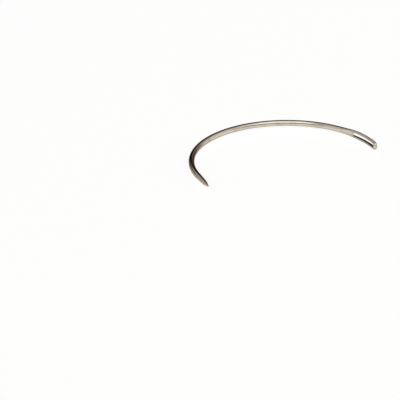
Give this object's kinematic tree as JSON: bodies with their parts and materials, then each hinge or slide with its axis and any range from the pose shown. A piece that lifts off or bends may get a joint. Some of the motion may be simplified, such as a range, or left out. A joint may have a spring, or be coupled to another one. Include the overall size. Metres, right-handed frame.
{
  "type": "curved upholstery needle",
  "caption": "Half-round upholstery needle of polished steel wire, with a round point and a long swaged eye with gutters.",
  "frame": {"origin": "middle of the needle's outline seen from above, level with the lowest point of the eye, on which the needle rests", "axes": "+Z square to the plane of the curve, +X along the longest side of the outline towards the eye, and +Y towards the crown of the curve"},
  "size_m": [0.0582, 0.0498, 0.0026],
  "materials": {
    "nickel_plated_steel": "polished"
  },
  "bodies": {
    "root": {"needle": "nickel_plated_steel"}
  },
  "joints": []
}
